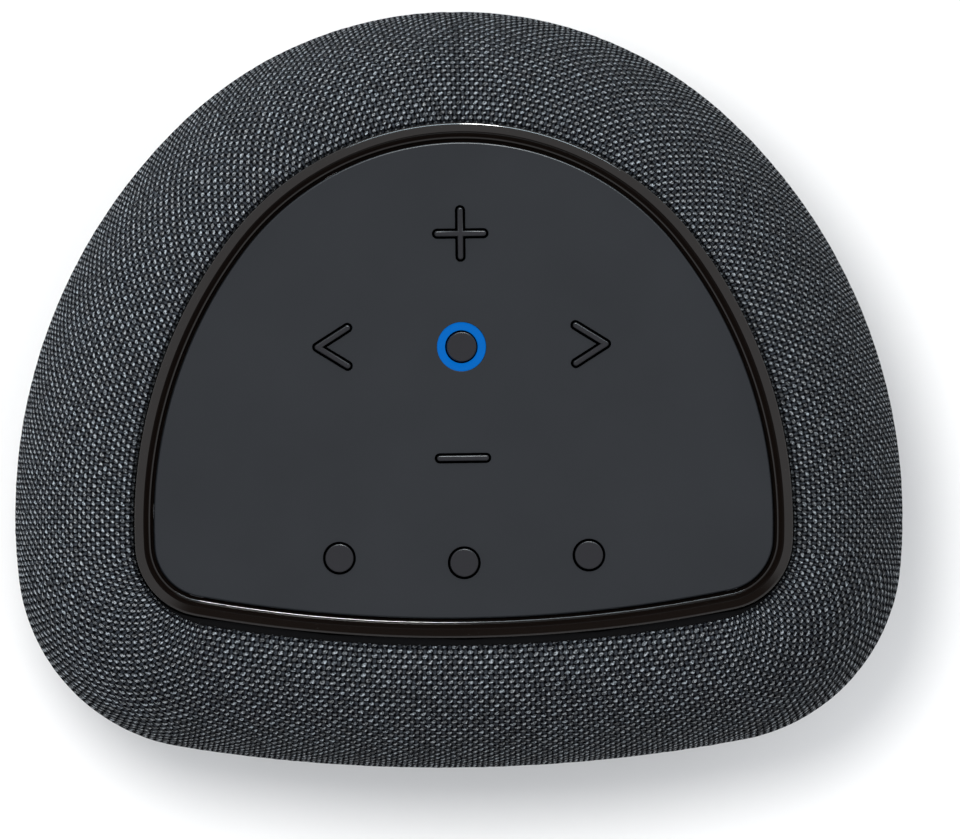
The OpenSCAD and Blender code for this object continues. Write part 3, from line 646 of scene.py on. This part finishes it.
def woven():
    """Plain weave in two tones. The map counts yarns, so whole numbers are the crossings."""
    s = Shader("fabric_charcoal", (0.02, 0.023, 0.027), 0.8, specular=0.15)
    uv = s.node("ShaderNodeUVMap", uv_map="weave").outputs["UV"]
    add, sub, mul, span = s.add, s.sub, s.mul, s.span

    def vector(op, ins):
        return s.node("ShaderNodeVectorMath", ins, operation=op).outputs[0]

    def point(x, y):
        return s.node("ShaderNodeCombineXYZ", {0: x, 1: y, 2: 0.0}).outputs[0]

    def hump(x, y, half_x, half_y):
        """1 at the middle and 0 outside an ellipse."""
        x, y = mul(x, 1 / half_x), mul(y, 1 / half_y)
        return s.math("SUBTRACT", 1.0, add(mul(x, x), mul(y, y)), clamp=True)

    # the yarns wander a little from their straight rows
    drift = s.node("ShaderNodeTexNoise", {"Scale": 0.5, "Detail": 2.0, "Vector": uv}).outputs["Color"]
    moved = vector("SCALE", {0: vector("SUBTRACT", {0: drift, 1: (0.5, 0.5, 0.5)}), 3: 0.5})
    at = vector("ADD", {0: uv, 1: moved})
    yarn = s.xyz(at)
    u, v = yarn["X"], yarn["Y"]
    # the nearest crossing where the light yarn is on top, and the way from it
    a, b = mul(add(u, v), 0.5), mul(sub(u, v), 0.5)
    ia, ib = s.math("ROUND", a), s.math("ROUND", b)
    da, db = sub(a, ia), sub(b, ib)
    du, dv = add(da, db), sub(da, db)
    chance = s.node("ShaderNodeTexWhiteNoise", {"Vector": point(ia, ib)}, noise_dimensions="3D")
    chance = chance.outputs["Value"]
    light = hump(add(du, mul(dv, 0.45)), dv, 0.59, 0.47)
    # the dark yarn is on top at the four crossings round it; between them all are pinholes, coloured
    # nearly black as painted shade
    wu, wv = s.math("ABSOLUTE", du), s.math("ABSOLUTE", dv)
    dark = s.math("MAXIMUM", hump(sub(1.0, wu), wv, 0.44, 0.64), hump(wu, sub(1.0, wv), 0.44, 0.64))
    # fibres lean across the yarns
    along, across = add(mul(u, 0.78), mul(v, -0.62)), add(mul(u, 0.62), mul(v, 0.78))
    strands = s.noise(1.0, 2.0, 0.6, point(mul(along, 0.9), mul(across, 2.3)))
    fuzz = s.noise(3.2, 2.0, 0.6, at)
    specks = s.noise(2.9, 2.0, 0.7, at)
    patch = s.noise(0.12, 3.0, 0.6, uv)
    # the cloth is a little uneven, and darker along the seam at u = 0
    even = mul(span(patch, 0.3, 0.7, 0.92, 1.08), span(s.math("ABSOLUTE", u), 0.5, 1.3, 0.72, 1.0))
    hairs = mul(span(strands, 0.4, 0.6, 0.3, 1.6), span(specks, 0.42, 0.6, 0.2, 2.1))
    # each yarn's colour falls off from its crown to its edges with its hump: painted shade round the
    # crossings
    bright = mul(mul(s.math("POWER", light, 0.8), hairs), span(chance, 0.0, 1.0, 0.82, 1.18))
    dim = mul(dark, span(fuzz, 0.35, 0.65, 0.1, 2.2))
    # near black for the pinholes and the yarns' edges: painted shade
    pinhole_shade = (0.0012, 0.0013, 0.0018)
    thread = s.mix(mul(mul(bright, even), 0.54), pinhole_shade, (0.230, 0.240, 0.250))
    other = s.mix(mul(mul(dim, even), 0.5), pinhole_shade, (0.026, 0.029, 0.035))
    cool = s.mix(span(chance, 0.0, 1.0), (1.0, 1.0, 1.0), (0.94, 1.0, 1.05))
    s.link(s.mix(1.0, s.mix(1.0, thread, other, "LIGHTEN"), cool, "MULTIPLY"), "Base Color")
    s.link(span(bright, 0.0, 1.2, 0.9, 0.6), "Roughness")
    height = s.math("MAXIMUM", s.math("SQRT", light), mul(s.math("SQRT", dark), 0.75))
    s.bump(add(height, mul(specks, 0.35)), 0.36, 1.0)
    s.link(mul(s.math("MAXIMUM", light, dark), 0.16), "Specular IOR Level")
    return s.mat


MATS = {
    "fabric_charcoal": woven(),
    "shell_black": moulded("shell_black", (0.004, 0.004, 0.0045), 0.75, specular=0.08),
    "ring_gloss": ring_gloss(),
    "panel_satin": panel_satin(),
    "key_satin": key_satin(),
    "light_guide": light_guide(),
    "screw_steel": metal("screw_steel", (0.52, 0.52, 0.55), 0.32),
    "silicone": moulded("silicone", (0.05, 0.05, 0.055), 0.7, 0.5, 0.01),
    "board_green": board("board_green"),
    "switch_metal": metal("switch_metal", (0.6, 0.61, 0.63), 0.35),
    "led_white": moulded("led_white", (0.8, 0.82, 0.74), 0.35, 0.2, 0.004),
    "box_black": moulded("box_black", (0.015, 0.015, 0.017), 0.5),
    "foam_grey": cloth("foam_grey", (0.12, 0.12, 0.13), 1400),
    "gasket_foam": cloth("gasket_foam", (0.02, 0.02, 0.02), 2600, 0.85),
    "basket_steel": moulded("basket_steel", (0.03, 0.03, 0.033), 0.42, 0.3, 0.01),
    "plate_zinc": metal("plate_zinc", (0.58, 0.58, 0.6), 0.38),
    "magnet_ferrite": moulded("magnet_ferrite", (0.03, 0.03, 0.034), 0.55, 0.4, 0.02, wear=0.2),
    "coil_copper": coil("coil_copper"),
    "cone_paper": cloth("cone_paper", (0.025, 0.025, 0.026), 2200),
    "surround_rubber": moulded("surround_rubber", (0.012, 0.012, 0.012), 0.55, 0.6, 0.008),
    "spider_cloth": cloth("spider_cloth", (0.42, 0.29, 0.12), 3200),
    "terminal_brass": metal("terminal_brass", (0.75, 0.55, 0.2), 0.3),
    "wire_red": moulded("wire_red", (0.35, 0.015, 0.012), 0.45, 0.4, 0.006),
    "heat_aluminium": metal("heat_aluminium", (0.7, 0.71, 0.73), 0.3, (14, 1, 1)),
    "component_black": moulded("component_black", (0.018, 0.018, 0.02), 0.5, 0.2, 0.006),
    "ribbon_white": ribbon("ribbon_white"),
    "connector_ivory": moulded("connector_ivory", (0.62, 0.58, 0.47), 0.45),
    "antenna_flex": moulded("antenna_flex", (0.4, 0.22, 0.04), 0.35, 0.5, 0.004),
    "inlet_steel": metal("inlet_steel", (0.58, 0.58, 0.6), 0.28),
    "base_black": moulded("base_black", (0.013, 0.013, 0.014), 0.55, 0.4, 0.03),
    "foot_rubber": moulded("foot_rubber", (0.014, 0.014, 0.014), 0.82, 0.5, 0.02, specular=0.25),
}
# every CAD node gets the material of its slot
record_slots = {row["node"]: row["material_slot"] for row in frame["record"]["subparts"]}
for node_name, ob in frame["nodes"].items():
    ob.data.materials.clear()
    ob.data.materials.append(MATS[record_slots[node_name]])


def finish_piece(ob, body, slot_name, *nodes):
    """Gives a piece its material and its body, and the CAD nodes that it stands for."""
    ob.data.materials.append(MATS[slot_name])
    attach(ob, body)
    if nodes:
        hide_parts(*nodes)


# ---------- the woven sleeve ----------
def body_inset(z):
    """How far the sleeve's outside lies inside the body's outline at a height below the waist."""
    return BELLY_IN - BELLY_IN * np.sqrt(1 - ((z - WAIST_Z) / WAIST_Z) ** 2)


ARC_STEPS = 400
# where the yarns are counted, and how far apart they are at turns from the back, in degrees
YARN_INSET = 10.0
YARN_TURNS = [0, 35, 50, 90, 110, 150, 168, 180]
YARN_GAPS = [0.775, 0.775, 0.75, 0.75, 0.86, 0.84, 0.80, 0.86]
ROW_GAP = 0.85
# the gap between the sleeve's edge and the gloss ring at turns from the back, in degrees
EDGE_TURNS = [0, 50, 90, 120, 150, 170, 180]
EDGE_GAPS = [0.05, 0.12, 0.28, 0.32, 0.9, 1.4, 1.4]
# the rows tucked in under the base and beside the ring, as [inset, height] from the row they follow
TUCK_LOW = np.array([[1.6, -0.25], [0.7, -0.35]])
TUCK_HIGH = np.array([[0.12, -0.75], [0.2, -1.6], [0.25, -2.4]])


def meridian():
    """Fine points of [inset, height] up the sleeve's outside, and the length along it."""
    start = math.degrees(math.asin((FABRIC_LOW_Z + 0.3 - WAIST_Z) / WAIST_Z))
    a = np.radians(np.linspace(start, 0, ARC_STEPS))
    low = np.stack([BELLY_IN - BELLY_IN * np.cos(a), WAIST_Z + WAIST_Z * np.sin(a)], -1)
    a = np.radians(np.linspace(0, 90, ARC_STEPS))[1:]
    high = np.stack([SHOULDER[0] - SHOULDER[0] * np.cos(a), WAIST_Z + SHOULDER[1] * np.sin(a)], -1)
    line = np.concatenate([low, high, [[FLAT_TOP_IN, WAIST_Z + SHOULDER[1]]]])
    return line, np.concatenate([[0], np.cumsum(np.linalg.norm(np.diff(line, axis=0), axis=1))])


def edge_inset(t):
    """How far inside the body's outline the sleeve ends beside the ring, found by halving."""
    gap = np.interp(np.minimum(t, 360 - t), EDGE_TURNS, EDGE_GAPS)
    low, high = np.full(len(t), BELLY_IN), np.full(len(t), FLAT_TOP_IN)
    for _ in range(30):
        mid = (low + high) / 2
        outside = off_panel(outline(BODY, t, -mid)).max(-1) > PANEL_GAP + RING_W + gap
        low, high = np.where(outside, mid, low), np.where(outside, high, mid)
    return low


def sleeve_rows(t):
    """The sleeve's middle surface: at every direction in t, a column of points from base to ring."""
    line, along = meridian()
    end = np.interp(edge_inset(t), line[:, 0][ARC_STEPS:], along[ARC_STEPS:])
    rows = int(round(end.mean() / ROW_GAP))
    s = end[:, None] * np.linspace(0, 1, rows + 1)[None, :]
    inset = np.interp(s, along, line[:, 0])
    # the last rows dip towards the ring
    z = np.interp(s, along, line[:, 1]) - 0.2 * np.exp(-(end[:, None] - s) / 0.3)
    inset, z = (
        np.concatenate([x[:, :1] + TUCK_LOW[:, i], x, x[:, -1:] + TUCK_HIGH[:, i]], 1)
        for i, x in enumerate((inset, z))
    )
    flat = outline(BODY, np.repeat(t[:, None], z.shape[1], 1), -inset)
    return np.concatenate([flat, z[..., None]], 2)


def sleeve():
    t = even_angles(BODY, lambda turn: np.interp(turn, YARN_TURNS, YARN_GAPS), -YARN_INSET)
    base = sleeve_rows(t)
    n, m = base.shape[:2]
    du = np.roll(base, -1, 0) - np.roll(base, 1, 0)
    dv = np.gradient(base, axis=1)
    normal = np.cross(du, dv)
    normal /= np.linalg.norm(normal, axis=2, keepdims=True)
    if (normal[:, m // 2, :2] * heading(t)).sum() < 0:
        normal = -normal
    # crossings stand proud and lie low in turn, unevenly, and the seam at the back is drawn in
    rng = np.random.default_rng(7)
    parity = (np.arange(n)[:, None] + np.arange(m)[None, :]) % 2
    lift = np.where(parity == 0, 0.11, -0.12) + rng.normal(0, 0.018, (n, m))
    from_seam = np.minimum(np.arange(n), n - np.arange(n))[:, None]
    lift = lift - 0.10 * np.exp(-(from_seam / 1.1) ** 2)
    verts = base + normal * lift[..., None]
    # the faces leave the port open; the map counts yarns from the seam and rows from the base
    port_w, port_h, _, port_z = PORT
    faces, uvs = [], []
    for i in range(n):
        k = (i + 1) % n
        for j in range(m - 1):
            c = (base[i, j] + base[k, j + 1]) / 2
            if c[1] > 40 and stadium(c[0], c[2] - port_z, port_w, port_h) < 0.3:
                continue
            faces.append((i * m + j, k * m + j, k * m + j + 1, i * m + j + 1))
            left = i if i < n // 2 else i - n
            uvs += [(left, j), (left + 1, j), (left + 1, j + 1), (left, j + 1)]
    ob = new_object("fabric_sleeve", verts.reshape(-1, 3), faces, 180)
    layer = ob.data.uv_layers.new(name="weave")
    layer.data.foreach_set("uv", np.asarray(uvs, np.float32).ravel())
    finish_piece(ob, "hub", "fabric_charcoal", "fabric_cover")


def stadium(x, z, w, h):
    """Signed distance of a point from a bar with round ends."""
    return math.hypot(max(abs(x) - (w - h) / 2, 0), z) - h / 2


# ---------- ring, panel, keys and lit ring ----------
PANEL_ROUND = 5.0


def arc(x, z, r, a0, a1, n=6):
    """Profile points on an arc, with angles from the profile's first axis to its second."""
    return [(x + r * math.cos(a), z + r * math.sin(a)) for a in np.radians(np.linspace(a0, a1, n))]


def gloss_ring():
    """The ring's profile: a steep inner slope, a nearly level top and a rounded outer edge."""
    x0, x1, top = PANEL_GAP, PANEL_GAP + RING_W, HEIGHT
    # a lip on the ledge under the gap hides the frame screws
    profile = [(x0, RING_LOW_Z), (x0, 62.86), (0.06, 62.86), (0.06, 63.1), (x0, 63.3)]
    profile += [(x0, top - 1.6)]
    profile += arc(x0 + 0.16, top - 1.6, 0.16, 180, 75)
    profile += [(x0 + 0.3, top - 1.48), (x0 + 1.2, top)]
    # two more loops keep the top's slight fall outwards even from edge to edge
    profile += [(x0 + 1.26, top - 0.004), (x1 - 0.46, top - 0.067), (x1 - 0.42, top - 0.07)]
    profile += arc(x1 - 0.4, top - 0.47, 0.4, 85, 0, 9)
    profile += [(x1, RING_LOW_Z)]
    ob = sweep("ring_polished", PANEL, profile[::-1], 0.7, ROUND_SMOOTH)
    finish_piece(ob, "hub", "ring_gloss", "top_bezel")


def panel_plate():
    """The panel with its holes; its outer edge is rounded PANEL_ROUND times as much as the holes."""
    loops = [outline(PANEL, even_angles(PANEL, 0.6))]
    loops += [key_shape(kind, at, KEY_GAP) for _, kind, at in KEYS.values()]
    loops.append(circle(LIGHT_D + 0.1, ACTION_AT, 128))
    ob = plate("panel_face", loops, PANEL_Z, PANEL_TOP, 0.06, 3)
    co = np.empty(len(ob.data.vertices) * 3)
    ob.data.vertices.foreach_get("co", co)
    co = co.reshape(-1, 3) / MM
    gap = off_panel(co[:, :2])
    away = gap.max(1)
    near = (away > -0.08) & (co[:, 2] > PANEL_TOP - 0.08)
    co[near, :2] += (SUPPORT_N[gap.argmax(1)] * (away * (PANEL_ROUND - 1))[:, None])[near]
    co[near, 2] = PANEL_TOP - (PANEL_TOP - co[near, 2]) * PANEL_ROUND
    ob.data.vertices.foreach_set("co", (co * MM).ravel())
    smooth(ob, FLAT_SMOOTH)
    finish_piece(ob, "hub", "panel_satin", "control_panel")


def stem(where, top, bevel):
    return plate("post", [circle(STEM_D, where, 32)], STEM_Z, top, bevel, 1)


def key(node, body, kind, at):
    """A key's cap, the flange that holds it under the panel, and the stem over its switch."""
    low = FLANGE_TOP - FLANGE_T
    bevel = 0.2 if kind == "round" else 0.26
    cap = plate("cap", [key_shape(kind, at, 0)], FLANGE_TOP, KEY_TOP, bevel, 4)
    flange = plate("flange", [key_shape(kind, at, FLANGE_OUT)], low, FLANGE_TOP, 0.03, 1)
    where = np.array(at) + {"left": (1.8, 0), "right": (-1.8, 0)}.get(kind, (0, 0))
    ob = join(node.replace("button", "keycap"), [cap, flange, stem(where, low, 0.03)])
    finish_piece(ob, body, "key_satin", node)


def action_key():
    low, high = ACTION_FLANGE_Z
    cap = plate("cap", [circle(ACTION_D, ACTION_AT)], low, KEY_TOP, 0.2, 4)
    flange = plate("flange", [circle(ACTION_D + 2.8, ACTION_AT)], low, high, 0.03, 1)
    ob = join("action_keycap", [cap, flange, stem(ACTION_AT, low, 0.02)])
    finish_piece(ob, "action_key", "key_satin", "action_button")


def lit_ring():
    """The light guide's face in the panel and the lip that holds it from below."""

    def band(outer, inner):
        return [circle(outer, ACTION_AT, 128), circle(inner, ACTION_AT, 128)]

    low, high = LIGHT_Z
    face = plate("face", band(LIGHT_D, LIGHT_HOLE_D), low, high, 0.05, 2)
    lip = plate("lip", band(LIGHT_D + 2.4, LIGHT_D - 0.02), low, low + 0.7, 0.03, 1)
    finish_piece(join("lit_ring", [face, lip]), "hub", "light_guide", "light_ring")


# ---------- the driver's flexible rings ----------
SECTORS, SECTOR_STEPS = 12, 8


def flexible_ring(name, slot_name, node, section):
    """A ring turned round the driver's axis, in sectors. The section's points are (radius, depth)."""
    radius, depth = np.asarray(section, float).T
    n = len(section)
    faces = grid_faces(SECTOR_STEPS + 1, n, wrap_n=False, wrap_m=True, flip=True)
    faces += [tuple(range(n)), tuple(range(n * (SECTOR_STEPS + 1) - 1, n * SECTOR_STEPS - 1, -1))]
    for k in range(SECTORS):
        a = np.linspace(k, k + 1, SECTOR_STEPS + 1)[:, None] * 2 * math.pi / SECTORS
        x, z = radius * np.cos(a), -radius * np.sin(a)
        verts = np.stack([x, np.broadcast_to(depth, x.shape), z], -1).reshape(-1, 3) + DRIVER_AT
        ob = new_object(f"{name}_{k + 1:02d}", verts, faces, ROUND_SMOOTH)
        ob.data.materials.append(MATS[slot_name])
        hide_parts(node)
        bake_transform(ob)


def surround():
    """Half roll between the flange glued on the cone and the flange glued on the basket."""
    roll = [(13.7, 0.24), (13.7, -0.1)] + arc(15.4, -0.1, 1.2, 180, 347, 13)
    roll += [(16.7, -0.36), (16.7, -0.01), (16.0, -0.01), (16.0, -0.36)]
    roll += arc(15.4, -0.1, 0.85, 342, 180, 13) + [(14.6, -0.09), (14.6, 0.24)]
    flexible_ring("surround_sector", "surround_rubber", "cone_surround", roll)


def spider():
    """Corrugated cloth disc between the coil's former and the basket's ledge."""
    folds = [(6.8 + i, 8.3 + (i % 2) * 0.5) for i in range(6)]
    rim = [(r, z + 0.35) for r, z in folds]
    flexible_ring("spider_sector", "spider_cloth", "spider", folds + rim[::-1])


# ---------- base, foot and port ----------
# points on each round end of the port collar, and between its ends along each straight side
END_N, SIDE_N = 33, 14


def base_cover():
    """The rim round the base, with the foot's channel and a wall inside the sleeve, and the floor."""
    low, high = BASE_Z
    rim = [(-20.9, low), (-20.1, low), (-20.1, 1.95), (-12.9, 1.95), (-12.9, low), (-9.6, low)]
    rim += [(-9.6 + 2.7 * math.sin(a), 3.3 - 2.1 * math.cos(a)) for a in np.linspace(0.2, 1.57, 8)]
    rim += [(-6.9, 4.6), (-7.2, 4.9), (-9, 4.9), (-9, 12), (-11, 12), (-11, high), (-20.9, high)]
    edge = sweep("edge", BODY, rim[::-1], 1.2, SWEPT_SMOOTH)
    hole_d, hole_in, hole_turns = SCREW_HOLES
    holes = [circle(hole_d, outline(BODY, np.array([a]), -hole_in)[0], 48) for a in hole_turns]
    border = outline(BODY, even_angles(BODY, 2.0), -20.85)
    inside = plate("inside", [border, *holes], low, high, 0.1, 2)
    finish_piece(join("base_moulding", [edge, inside]), "hub", "base_black", "base_cover")


def foot_ring():
    """A rubber band round the base whose lower edges are rounded."""
    r = FOOT_R
    foot = [(-20, 1.9), (-20, r)]
    foot += [(-20 + r - r * math.cos(a), r - r * math.sin(a)) for a in np.linspace(0.3, 1.57, 5)]
    foot += [(-13 - r + r * math.sin(a), r - r * math.cos(a)) for a in np.linspace(0, 1.3, 5)]
    foot += [(-13, r), (-13, 1.9)]
    finish_piece(sweep("foot_band", BODY, foot, 1.5, SWEPT_SMOOTH), "hub", "foot_rubber", "foot_ring")


def port_collar():
    """A thin moulded collar that frames the port and lies on the curved fabric round it."""
    w, h, face_y, zc = PORT
    e = (w - h) / 2
    ends = [((e, 0), -90, 90), ((-e, 0), 90, 270)]
    line = np.concatenate([arc_points(c, h / 2, a0, a1, END_N) for c, a0, a1 in ends])
    out = np.concatenate([arc_points((0, 0), 1, a0, a1, END_N) for _, a0, a1 in ends])
    pts, nrm = [], []
    for i in range(len(line)):
        pts.append(line[i])
        nrm.append(out[i])
        if i % END_N == END_N - 1:
            for f in np.linspace(0, 1, SIDE_N + 2)[1:-1]:
                pts.append(line[i] * (1 - f) + line[(i + 1) % len(line)] * f)
                nrm.append(out[i])
    pts, nrm = np.array(pts), np.array(nrm)

    def surface(x, z):
        """The y of the sleeve's outside at the back."""
        r = BODY[1][0] - body_inset(z)
        return BODY[0] - BODY[1][0] + np.sqrt(r * r - x * x)

    # distance outwards from the port's edge, and height above the sleeve; the first is in the port
    steps = [(-1.0, None), (-1.0, 0.05), (-0.85, 0.22), (-0.6, 0.32), (-0.2, 0.36), (0.2, 0.34),
             (0.5, 0.24), (0.72, 0.08), (0.8, -0.4)]
    verts = np.zeros((len(pts), len(steps), 3))
    for j, (grow, proud) in enumerate(steps):
        p = pts + nrm * grow
        verts[:, j, 0], verts[:, j, 2] = p[:, 0], p[:, 1] + zc
        verts[:, j, 1] = face_y - 0.3 if proud is None else surface(p[:, 0], p[:, 1] + zc) + proud
    faces = grid_faces(len(pts), len(steps))
    ob = new_object("port_collar", verts.reshape(-1, 3), faces, SWEPT_SMOOTH)
    bm = bmesh.new()
    bm.from_mesh(ob.data)
    bmesh.ops.recalc_face_normals(bm, faces=bm.faces)
    bm.to_mesh(ob.data)
    bm.free()
    finish_piece(ob, "hub", "base_black")


sleeve()
gloss_ring()
panel_plate()
for node_name, (body_name, kind, at) in KEYS.items():
    key(node_name, body_name, kind, at)
action_key()
lit_ring()
surround()
spider()
base_cover()
foot_ring()
port_collar()


# ---------- stage, light and camera ----------
def floor():
    """Plain pale paper, 12 m across."""
    me = bpy.data.meshes.new("floor")
    r = 6.0
    me.from_pydata([(-r, -r, 0), (r, -r, 0), (r, r, 0), (-r, r, 0)], [], [(0, 1, 2, 3)])
    ob = bpy.data.objects.new("floor", me)
    bpy.context.scene.collection.objects.link(ob)
    s = Shader("floor_paper", (0.86, 0.86, 0.86), 0.9, specular=0.1)
    me.materials.append(s.mat)


def area_light(name, direction, distance, size, watts, color):
    """An elliptical lamp that lights the hub from a direction and distance."""
    lamp = bpy.data.lights.new(name, "AREA")
    lamp.shape = "ELLIPSE"
    lamp.size, lamp.size_y = size
    lamp.energy = watts
    lamp.color = color
    ob = bpy.data.objects.new(name, lamp)
    bpy.context.scene.collection.objects.link(ob)
    d = Vector(direction).normalized()
    ob.location = Vector((0, 0, 0.04)) + d * distance
    ob.rotation_euler = (-d).to_track_quat("-Z", "Y").to_euler()
    return ob


def sky():
    """A white backdrop for the camera; what lights the hub is a pale sky with a dark patch."""
    world = bpy.data.worlds.new("studio")
    bpy.context.scene.world = world
    world.use_nodes = True
    t = Tree(world.node_tree)
    ray = t.node("ShaderNodeTexCoord").outputs["Generated"]
    # the dark patch overhead, a little towards the front, is what the gloss ring shows there
    patch_way = Vector((0.07, -0.2, 0.98)).normalized()
    toward = t.node("ShaderNodeVectorMath", {0: ray, 1: patch_way}, operation="DOT_PRODUCT")
    patch = t.span(toward.outputs["Value"], 0.9955, 0.986, 0.05, 1.0, "SMOOTHSTEP")
    back = t.span(t.xyz(ray)["Y"], -0.7, 0.2, 0.85, 1.0, "SMOOTHSTEP")
    light = t.mix(t.mul(patch, back), BLACK, (1.15, 1.17, 1.2))
    seen = t.node("ShaderNodeLightPath").outputs["Is Camera Ray"]
    shader = world.node_tree.nodes["Background"]
    world.node_tree.links.new(t.mix(seen, light, (1, 1, 1)), shader.inputs["Color"])
    shader.inputs["Strength"].default_value = 1.0


def lamps():
    """A soft top light, a raking light for the weave, and two lamps seen only as reflections."""
    key_soft = area_light("key_soft", (-0.16, 0.17, 1.0), 1.25, (0.36, 0.36), 8.0, (1.0, 0.99, 0.97))
    key_soft.visible_glossy = False
    # a raking light picks out the weave only
    rake = area_light("rake_soft", (-0.68, 0.32, 0.62), 1.2, (0.3, 0.3), 14.0, (0.96, 1.0, 1.03))
    rake.visible_glossy = False
    woven_only = bpy.data.collections.new("woven_only")
    woven_only.objects.link(bpy.data.objects["fabric_sleeve"])
    rake.light_linking.receiver_collection = woven_only
    strip = area_light("edge_strip", (0.10, 0.80, 0.68), 1.1, (0.9, 0.3), 22, (0.74, 0.9, 1.0))
    strip.visible_diffuse = False
    spark = area_light("edge_spark", (0.09, 0.80, 0.68), 1.05, (0.12, 0.26), 17, (1.0, 0.98, 0.95))
    spark.visible_diffuse = False


def camera():
    """Looks straight down from 4 m, turned and leaning a little as in the photograph."""
    turn, lean = math.radians(0.7), math.radians(1.8)
    right = Vector((math.cos(turn), -math.sin(turn), 0))
    up = Vector((math.sin(turn), math.cos(turn), 0))
    distance, wide = 4.0, 0.15782
    target = Vector((0, 0, WAIST_Z * MM)) + right * 3.69 * MM - up * 4.99 * MM
    back = (Vector((0, 0, 1)) * math.cos(lean) - right * math.sin(lean)).normalized()
    cam = bpy.data.cameras.new("camera")
    cam.sensor_width = 36.0
    cam.lens = 36.0 * distance / wide
    cam.clip_start, cam.clip_end = 0.1, 50.0
    ob = bpy.data.objects.new("camera", cam)
    bpy.context.scene.collection.objects.link(ob)
    side = up.cross(back).normalized()
    rise = back.cross(side).normalized()
    ob.matrix_world = Matrix((side, rise, back)).transposed().to_4x4()
    ob.location = target + back * distance
    bpy.context.scene.camera = ob


floor()
sky()
lamps()
camera()
bpy.context.scene.view_settings.view_transform = "Standard"
bpy.context.scene.view_settings.look = "None"
